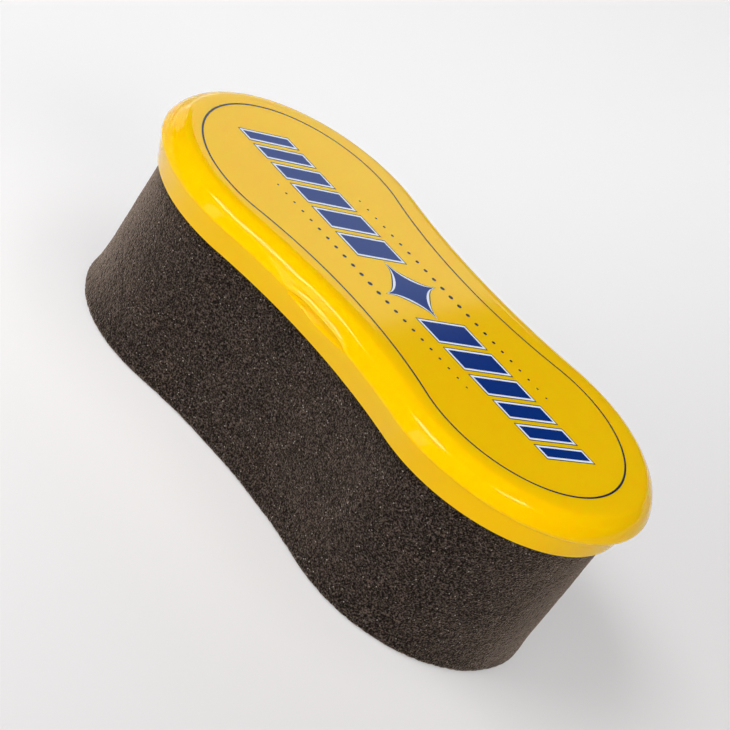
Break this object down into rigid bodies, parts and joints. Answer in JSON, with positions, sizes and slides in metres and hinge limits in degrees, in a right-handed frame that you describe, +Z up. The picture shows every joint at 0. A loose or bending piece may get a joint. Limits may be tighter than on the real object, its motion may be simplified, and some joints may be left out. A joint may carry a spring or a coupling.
{
  "type": "shoe shine sponge",
  "caption": "Hand-held shoe shine sponge: a waisted glossy plastic cap with a rounded rim over a charcoal foam block fed from an oil pad inside.",
  "frame": {"origin": "middle of the foam's underside, on the plane that the sponge stands on", "axes": "+X along the sponge, +Y across it, +Z up through the cap's top face"},
  "size_m": [0.1272, 0.0634, 0.0435],
  "materials": {
    "yellow_plastic": "high gloss, pad printed",
    "felt": "needled felt, oil soaked",
    "plate_plastic": "satin",
    "glue_film": "satin",
    "foam": "open-cell foam"
  },
  "bodies": {
    "root": {"handle_cap": "yellow_plastic", "oil_pad": "felt", "feed_plate": "plate_plastic", "glue_film": "glue_film", "foam_block": "foam"}
  },
  "joints": []
}
